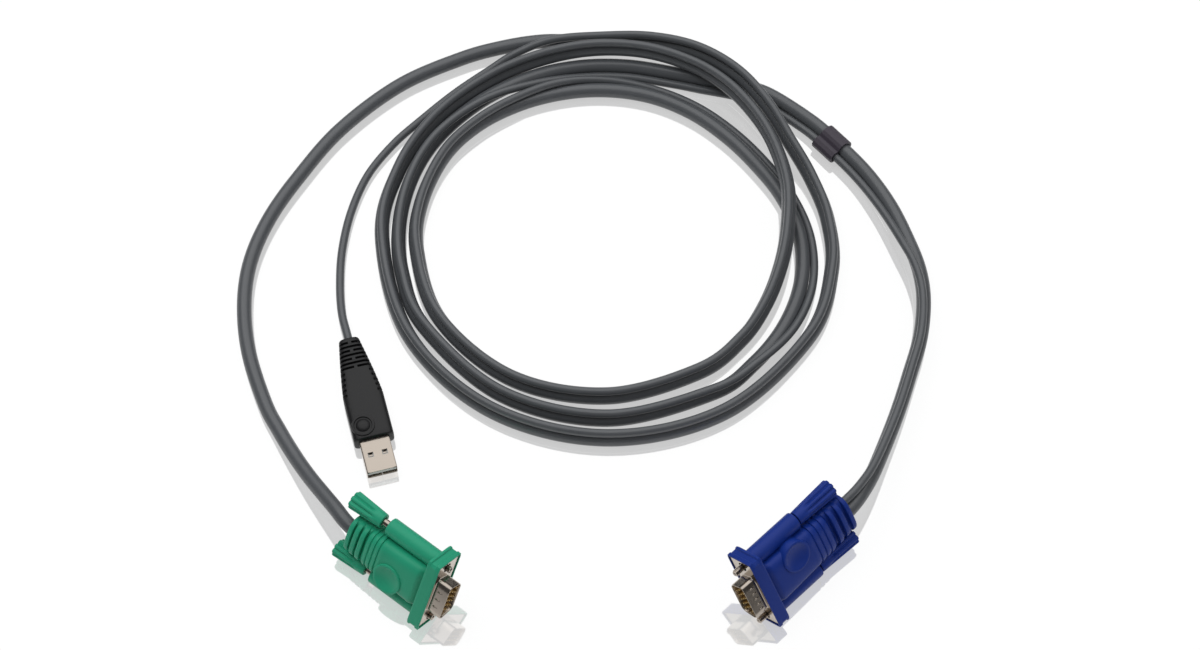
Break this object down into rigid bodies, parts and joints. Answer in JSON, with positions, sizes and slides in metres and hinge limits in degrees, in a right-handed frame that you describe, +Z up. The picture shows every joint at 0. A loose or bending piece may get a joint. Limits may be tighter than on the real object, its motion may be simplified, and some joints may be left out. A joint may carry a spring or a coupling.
{
  "type": "kvm cable",
  "caption": "KVM cable with a video lead between two screw-down plugs and a joined USB lead, laid in a loose round coil on a flat surface.",
  "frame": {"origin": "on the surface that the cable lies on, below the middle of the box round the three plugs and the clip", "axes": "+Z up; +Y from the two video plugs towards the coil; +X from the green plug towards the blue one"},
  "size_m": [0.2778, 0.2733, 0.0347],
  "materials": {
    "green_plastic": "satin",
    "blue_plastic": "satin",
    "black_overmould": "satin",
    "grey_jacket": "satin",
    "clip_plastic": "satin",
    "nickel_plate": "plated",
    "gold_plate": "plated",
    "black_insulator": "matt",
    "tongue_plastic": "satin"
  },
  "bodies": {
    "cable": {"green_hood": "green_plastic", "green_front_shell": "nickel_plate", "green_insulator": "black_insulator", "green_pin_01": "gold_plate", "green_pin_02": "gold_plate", "green_pin_03": "gold_plate", "green_pin_04": "gold_plate", "green_pin_05": "gold_plate", "green_pin_06": "gold_plate", "green_pin_07": "gold_plate", "green_pin_08": "gold_plate", "green_pin_09": "gold_plate", "green_pin_10": "gold_plate", "green_pin_11": "gold_plate", "green_pin_12": "gold_plate", "green_pin_13": "gold_plate", "green_pin_14": "gold_plate", "green_pin_15": "gold_plate", "blue_hood": "blue_plastic", "blue_front_shell": "nickel_plate", "blue_insulator": "black_insulator", "blue_pin_01": "gold_plate", "blue_pin_02": "gold_plate", "blue_pin_03": "gold_plate", "blue_pin_04": "gold_plate", "blue_pin_05": "gold_plate", "blue_pin_06": "gold_plate", "blue_pin_07": "gold_plate", "blue_pin_08": "gold_plate", "blue_pin_09": "gold_plate", "blue_pin_10": "gold_plate", "blue_pin_11": "gold_plate", "blue_pin_12": "gold_plate", "blue_pin_13": "gold_plate", "blue_pin_14": "gold_plate", "blue_pin_15": "gold_plate", "usb_overmould": "black_overmould", "usb_shell": "nickel_plate", "usb_tongue": "tongue_plastic", "usb_contact_1": "gold_plate", "usb_contact_2": "gold_plate", "usb_contact_3": "gold_plate", "usb_contact_4": "gold_plate", "cable_clip": "clip_plastic", "coil": "grey_jacket", "green_video_tail": "grey_jacket", "usb_tail": "grey_jacket", "twin_video_tail": "grey_jacket", "twin_usb_tail": "grey_jacket"},
    "green_thumbscrew_left": {"green_screw_left": "nickel_plate", "green_grip_left": "green_plastic"},
    "green_thumbscrew_right": {"green_screw_right": "nickel_plate", "green_grip_right": "green_plastic"},
    "blue_thumbscrew_left": {"blue_screw_left": "nickel_plate", "blue_grip_left": "blue_plastic"},
    "blue_thumbscrew_right": {"blue_screw_right": "nickel_plate", "blue_grip_right": "blue_plastic"}
  },
  "joints": [
    {"name": "green_thumbscrew_left_spin", "type": "hinge", "parent": "cable", "child": "green_thumbscrew_left", "pos_m": [-0.05646, -0.09702, 0.02832], "axis": [-0.788, 0.6157, 0], "continuous": true},
    {"name": "green_thumbscrew_right_spin", "type": "hinge", "parent": "cable", "child": "green_thumbscrew_right", "pos_m": [-0.06392, -0.10656, 0.00646], "axis": [-0.788, 0.6157, 0], "continuous": true},
    {"name": "blue_thumbscrew_left_spin", "type": "hinge", "parent": "cable", "child": "blue_thumbscrew_left", "pos_m": [0.062, -0.10635, 0.00675], "axis": [0.7193, 0.6947, 0], "continuous": true},
    {"name": "blue_thumbscrew_right_spin", "type": "hinge", "parent": "cable", "child": "blue_thumbscrew_right", "pos_m": [0.05242, -0.09643, 0.0276], "axis": [0.7193, 0.6947, 0], "continuous": true}
  ]
}
